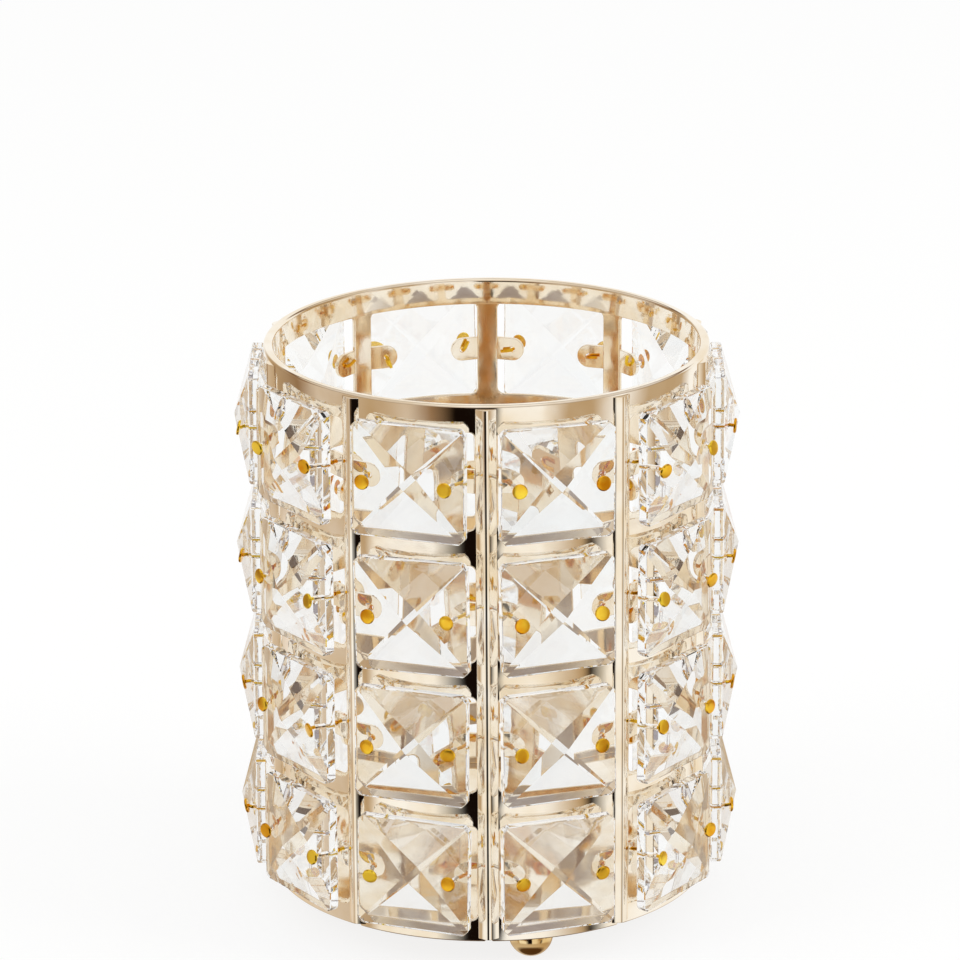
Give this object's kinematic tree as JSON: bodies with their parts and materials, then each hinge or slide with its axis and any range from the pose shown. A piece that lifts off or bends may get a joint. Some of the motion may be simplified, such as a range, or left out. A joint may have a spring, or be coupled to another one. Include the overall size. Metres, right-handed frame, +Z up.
{
  "type": "makeup brush holder",
  "caption": "Round open-topped cup for makeup brushes: a gold-plated cage of hoops and ridged uprights, hung with square faceted glass crystals on head pins, standing on small ball feet.",
  "frame": {"origin": "centre of the cup, on the surface that the ball feet stand on", "axes": "+Z up along the cup's axis, open end up; -Y is the side with an upright in the middle that faces the picture's camera"},
  "size_m": [0.114, 0.1128, 0.1316],
  "materials": {
    "gold_plate": "bright champagne-gold plating on steel",
    "gold_pins": "polished deep-gold brass wire",
    "clear_glass": "clear, polished facets"
  },
  "bodies": {
    "root": {"ball_feet": "gold_plate", "base_plate": "gold_plate", "base_ring": "gold_plate", "crystal_pins": "gold_pins", "crystal_row_1_01": "clear_glass", "crystal_row_1_02": "clear_glass", "crystal_row_1_03": "clear_glass", "crystal_row_1_04": "clear_glass", "crystal_row_1_05": "clear_glass", "crystal_row_1_06": "clear_glass", "crystal_row_1_07": "clear_glass", "crystal_row_1_08": "clear_glass", "crystal_row_1_09": "clear_glass", "crystal_row_1_10": "clear_glass", "crystal_row_2_01": "clear_glass", "crystal_row_2_02": "clear_glass", "crystal_row_2_03": "clear_glass", "crystal_row_2_04": "clear_glass", "crystal_row_2_05": "clear_glass", "crystal_row_2_06": "clear_glass", "crystal_row_2_07": "clear_glass", "crystal_row_2_08": "clear_glass", "crystal_row_2_09": "clear_glass", "crystal_row_2_10": "clear_glass", "crystal_row_3_01": "clear_glass", "crystal_row_3_02": "clear_glass", "crystal_row_3_03": "clear_glass", "crystal_row_3_04": "clear_glass", "crystal_row_3_05": "clear_glass", "crystal_row_3_06": "clear_glass", "crystal_row_3_07": "clear_glass", "crystal_row_3_08": "clear_glass", "crystal_row_3_09": "clear_glass", "crystal_row_3_10": "clear_glass", "crystal_row_4_01": "clear_glass", "crystal_row_4_02": "clear_glass", "crystal_row_4_03": "clear_glass", "crystal_row_4_04": "clear_glass", "crystal_row_4_05": "clear_glass", "crystal_row_4_06": "clear_glass", "crystal_row_4_07": "clear_glass", "crystal_row_4_08": "clear_glass", "crystal_row_4_09": "clear_glass", "crystal_row_4_10": "clear_glass", "lower_hoop": "gold_plate", "middle_hoop": "gold_plate", "rim_ring": "gold_plate", "upper_hoop": "gold_plate", "upright_01": "gold_plate", "upright_02": "gold_plate", "upright_03": "gold_plate", "upright_04": "gold_plate", "upright_05": "gold_plate", "upright_06": "gold_plate", "upright_07": "gold_plate", "upright_08": "gold_plate", "upright_09": "gold_plate", "upright_10": "gold_plate"}
  },
  "joints": []
}
